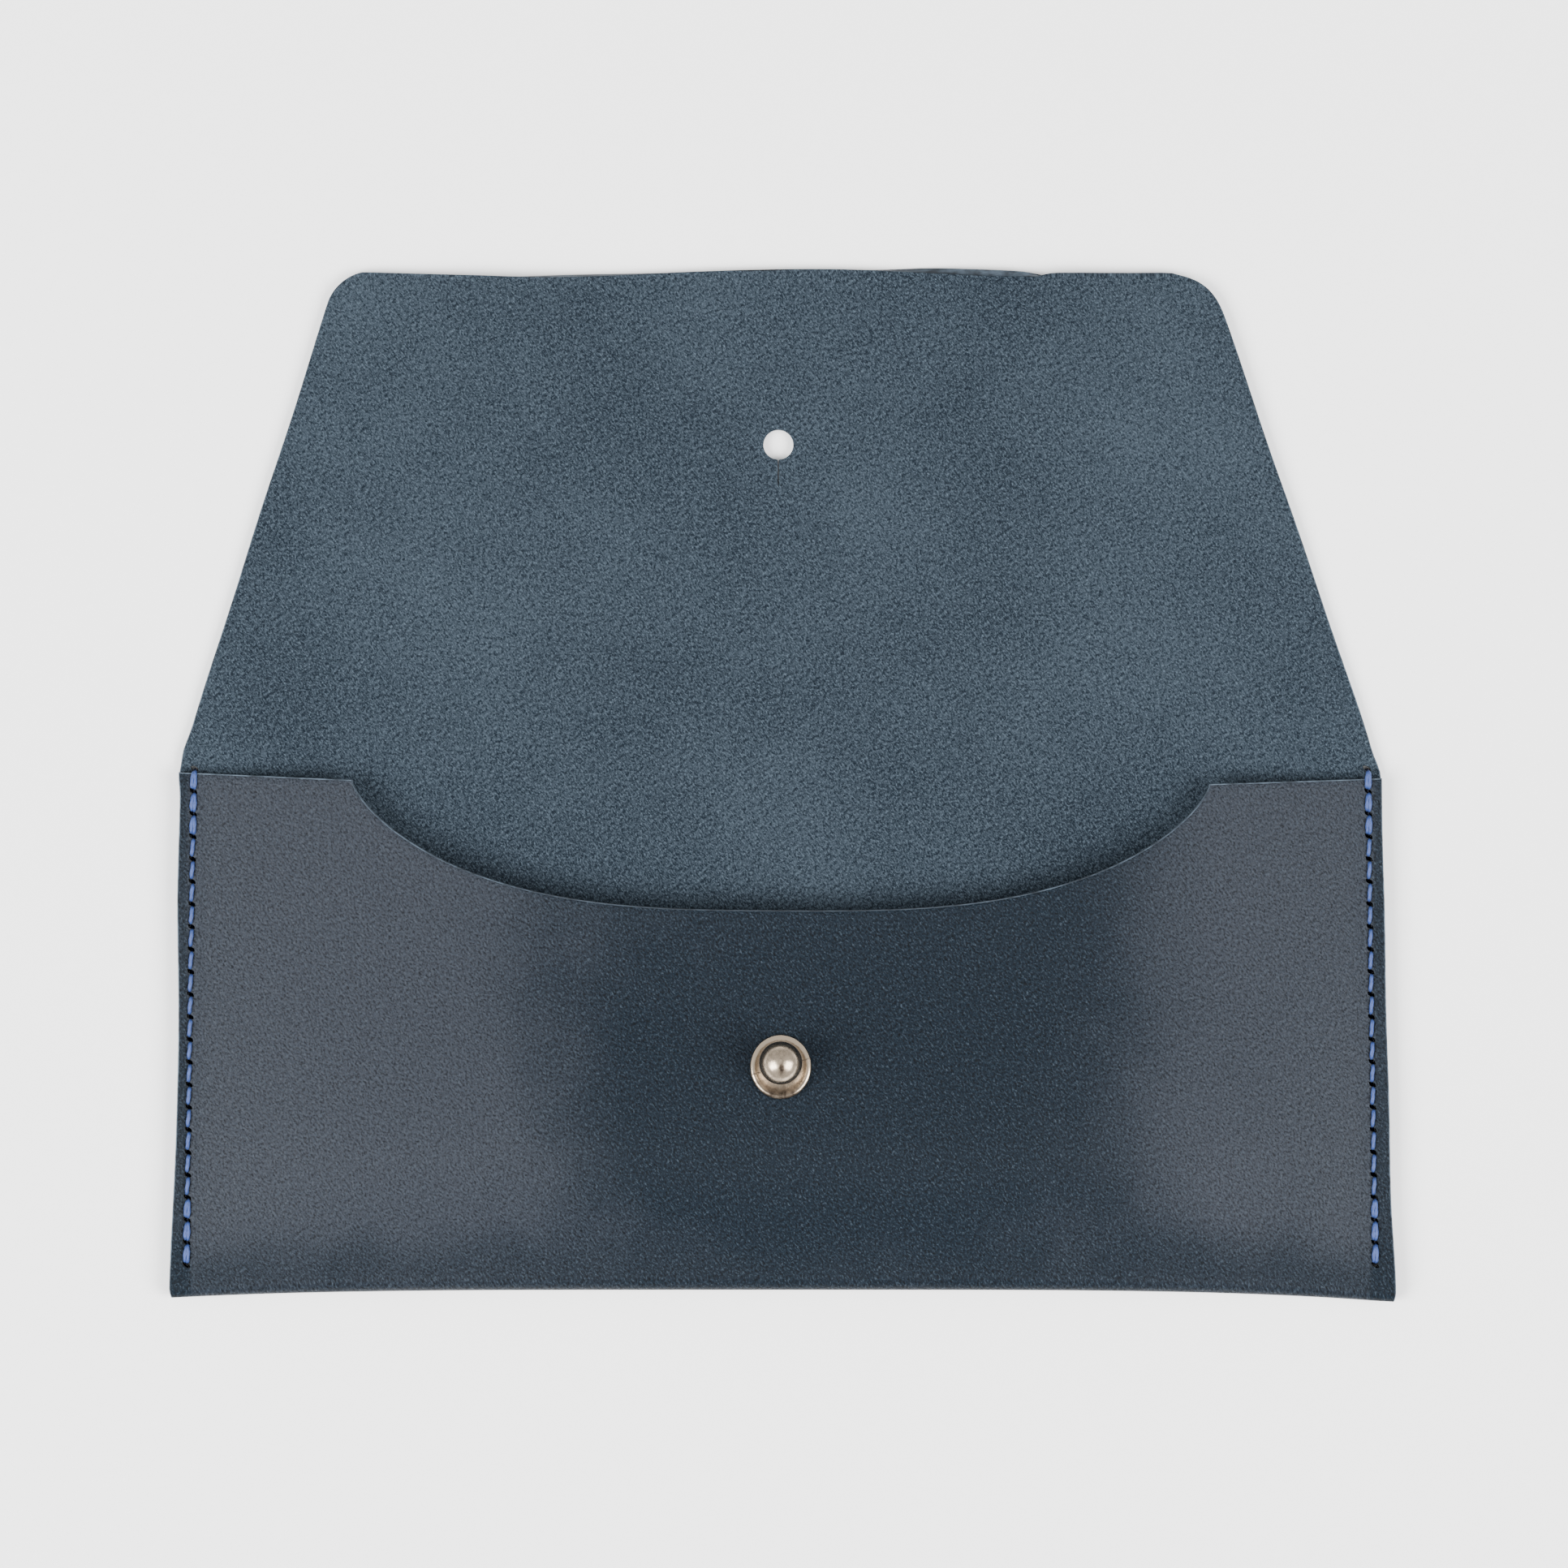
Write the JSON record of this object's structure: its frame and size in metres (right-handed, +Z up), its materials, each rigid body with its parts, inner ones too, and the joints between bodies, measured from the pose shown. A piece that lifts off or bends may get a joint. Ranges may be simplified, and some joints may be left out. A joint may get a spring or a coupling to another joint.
{
  "type": "utility pouch",
  "caption": "Flat leather envelope pouch with saddle-stitched sides, a curved mouth cutout and a keyhole flap that turns to close on a ball stud.",
  "frame": {"origin": "middle of the open pouch's outline, on the surface that its back lies on", "axes": "+X along the bottom fold to the right, +Y from the bottom fold to the flap's tip, +Z up out of the front panel"},
  "size_m": [0.2038, 0.1708, 0.0201],
  "materials": {
    "grain_leather": "smooth grain, slightly waxed",
    "suede": "matte flesh side with a short nap",
    "thread": "waxed thread",
    "antique_silver": "antique silver with dark patina",
    "screw_steel": "plain nickel"
  },
  "bodies": {
    "pouch": {"pouch_body": "grain_leather", "stitching_left": "thread", "stitching_right": "thread", "stud_head": "antique_silver", "stud_screw": "screw_steel"},
    "flap": {"flap": "suede"}
  },
  "joints": [
    {"name": "flap_hinge", "type": "hinge", "parent": "pouch", "child": "flap", "pos_m": [0, 0.005, 0.0038], "axis": [1, 0, 0], "range_deg": [0, 173.5]}
  ]
}
